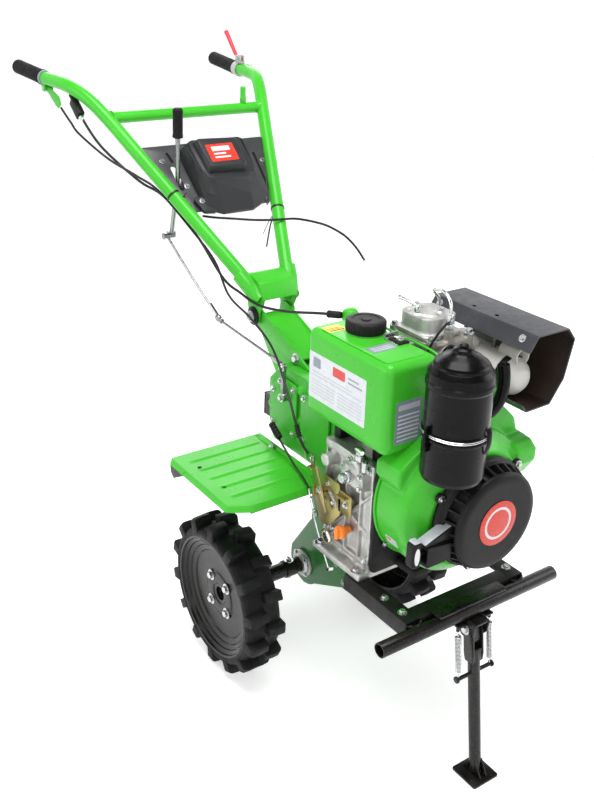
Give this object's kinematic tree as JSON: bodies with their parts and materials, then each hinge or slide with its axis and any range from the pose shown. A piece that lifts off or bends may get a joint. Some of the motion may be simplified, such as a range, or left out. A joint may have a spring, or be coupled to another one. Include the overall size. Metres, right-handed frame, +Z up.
{
  "type": "mini cultivator",
  "caption": "Walk-behind diesel mini cultivator with lugged wheels, raised handlebars, control levers, recoil starter, mudguards and a front drop leg.",
  "frame": {"origin": "on the ground under the middle of the machine", "axes": "+X forward, +Y to the operator's left, +Z up"},
  "size_m": [1.7292, 0.7, 1.4562],
  "materials": {
    "green_paint": "gloss enamel",
    "dark_green_paint": "gloss enamel on casting",
    "black_paint": "gloss enamel",
    "filter_black": "satin enamel",
    "shield_paint": "heat-marked satin",
    "heat_paint": "matt heat paint",
    "cast_alloy": "as cast",
    "cast_iron": "as cast",
    "black_gasket": "matt",
    "bright_steel": "zinc plated",
    "yellow_zinc": "yellow passivate",
    "black_plastic": "fine grain",
    "grey_plate": "satin powder coat",
    "orange_plastic": "gloss",
    "red_plastic": "gloss dip",
    "tyre_rubber": "moulded",
    "grip_rubber": "ribbed",
    "cable_sheath": "smooth"
  },
  "bodies": {
    "chassis": {"chassis_frame": "black_paint", "bumper_tube": "black_paint", "drive_case": "dark_green_paint", "gearbox_case": "green_paint", "axle_caps": "cast_alloy", "axle_bearings": "bright_steel", "clutch_housing": "green_paint", "crankcase": "cast_alloy", "crank_bearings": "bright_steel", "case_gasket": "black_gasket", "cylinder_barrel": "cast_iron", "cylinder_head": "cast_alloy", "rocker_cover": "cast_alloy", "fan_shroud": "green_paint", "recoil_housing": "black_plastic", "fuel_tank": "green_paint", "air_filter_can": "filter_black", "air_filter_bowl": "filter_black", "intake_elbow": "filter_black", "muffler": "heat_paint", "muffler_shield": "shield_paint", "injection_gear": "bright_steel", "governor_bracket": "yellow_zinc", "oil_plug": "orange_plastic", "fenders": "green_paint", "fender_stays": "black_paint", "handle_seat": "green_paint", "hitch_socket": "black_paint", "fasteners": "bright_steel", "stand_springs": "bright_steel", "control_cables": "cable_sheath"},
    "wheels": {"axle_shaft": "bright_steel", "axle_gear": "bright_steel", "axle_sleeves": "black_paint", "wheel_rims": "black_paint", "tyres": "tyre_rubber", "wheel_bolts": "bright_steel"},
    "idler": {"idler_gear": "bright_steel"},
    "crank": {"crankshaft": "bright_steel", "clutch_pack": "cast_iron", "flywheel": "cast_iron"},
    "starter_grip": {"pull_handle": "black_plastic"},
    "handlebar": {"handle_tubes": "green_paint", "squeeze_bracket": "green_paint", "crossbar": "green_paint", "handle_head": "green_paint", "grips": "grip_rubber", "control_plate": "grey_plate", "control_cover": "black_plastic", "cable_stop": "black_plastic", "lever_perch": "bright_steel", "spare_cable": "cable_sheath"},
    "shift_lever": {"shift_lever": "bright_steel"},
    "shift_rod": {"shift_rod": "bright_steel"},
    "shift_link": {"shift_link": "bright_steel"},
    "selector_arm": {"selector_arm": "bright_steel"},
    "clutch_lever": {"clutch_lever": "red_plastic"},
    "release_arm": {"release_arm": "green_paint"},
    "hand_lever": {"hand_lever": "green_paint"},
    "speed_lever": {"speed_lever": "yellow_zinc"},
    "fuel_cap": {"fuel_cap": "black_plastic"},
    "decompression_lever": {"decompression_lever": "bright_steel"},
    "stand": {"stand_leg": "black_paint"}
  },
  "joints": [
    {"name": "axle_spin", "type": "hinge", "parent": "chassis", "child": "wheels", "pos_m": [0.1776, 0, 0.205], "axis": [0, 1, 0], "continuous": true},
    {"name": "idler_spin", "type": "hinge", "parent": "chassis", "child": "idler", "pos_m": [0.2276, 0, 0.26999], "axis": [0, 1, 0], "continuous": true},
    {"name": "crank_spin", "type": "hinge", "parent": "chassis", "child": "crank", "pos_m": [0.6576, 0.027, 0.627], "axis": [1, 0, 0], "continuous": true},
    {"name": "starter_pull", "type": "slide", "parent": "chassis", "child": "starter_grip", "axis": [0, -1, 0], "range_m": [0, 0.08], "stiffness_N_per_m": 150},
    {"name": "bar_pitch", "type": "hinge", "parent": "chassis", "child": "handlebar", "pos_m": [-0.0384, 0, 0.837], "axis": [0, 1, 0], "range_deg": [-15, 20], "deforming": ["control_cables"]},
    {"name": "shift_lever_swing", "type": "hinge", "parent": "handlebar", "child": "shift_lever", "pos_m": [-0.3064, -0.12, 1.11], "axis": [0, 1, 0], "range_deg": [-12, 12]},
    {"name": "shift_rod_slide", "type": "slide", "parent": "handlebar", "child": "shift_rod", "axis": [0.8129, 0.028, -0.5817], "range_m": [-0.032, 0.032]},
    {"name": "shift_link_slide", "type": "slide", "parent": "chassis", "child": "shift_link", "axis": [0.9907, 0.0624, -0.1209], "range_m": [-0.032, 0.032]},
    {"name": "selector_turn", "type": "hinge", "parent": "chassis", "child": "selector_arm", "pos_m": [0.1656, -0.095, 0.7], "axis": [0, 1, 0], "range_deg": [-22, 22]},
    {"name": "clutch_squeeze", "type": "hinge", "parent": "handlebar", "child": "clutch_lever", "pos_m": [-0.6744, 0.296, 1.384], "axis": [0, 1, 0], "range_deg": [-30, 0], "stiffness_Nm_per_rad": 2},
    {"name": "release_swing", "type": "hinge", "parent": "chassis", "child": "release_arm", "pos_m": [0.3716, 0.014, 0.748], "axis": [0, 1, 0], "range_deg": [-12, 0]},
    {"name": "hand_lever_squeeze", "type": "hinge", "parent": "handlebar", "child": "hand_lever", "pos_m": [-0.6944, -0.298, 1.328], "axis": [0, 1, 0], "range_deg": [-8, 0], "stiffness_Nm_per_rad": 5, "springref_deg": -11.46},
    {"name": "speed_lever_turn", "type": "hinge", "parent": "chassis", "child": "speed_lever", "pos_m": [0.4176, -0.162, 0.588], "axis": [0, 1, 0], "range_deg": [-20, 20]},
    {"name": "fuel_cap_turn", "type": "hinge", "parent": "chassis", "child": "fuel_cap", "pos_m": [0.4456, -0.08, 0.96], "axis": [0, 0, 1], "range_deg": [0, 90]},
    {"name": "decompression_turn", "type": "hinge", "parent": "chassis", "child": "decompression_lever", "pos_m": [0.5036, 0.008, 1.01], "axis": [0, 0, 1], "range_deg": [-50, 0]},
    {"name": "stand_fold", "type": "hinge", "parent": "chassis", "child": "stand", "pos_m": [0.7696, 0, 0.374], "axis": [0, 1, 0], "range_deg": [0, 75], "deforming": ["stand_springs"]}
  ],
  "couplings": [
    {"joint": "idler_spin", "follows": "axle_spin", "ratio": -1.7333},
    {"joint": "shift_rod_slide", "follows": "shift_lever_swing", "m_per_rad": -0.126},
    {"joint": "shift_link_slide", "follows": "shift_lever_swing", "m_per_rad": -0.126},
    {"joint": "selector_turn", "follows": "shift_lever_swing", "ratio": -1.5},
    {"joint": "release_swing", "follows": "clutch_squeeze", "ratio": 0.4}
  ]
}
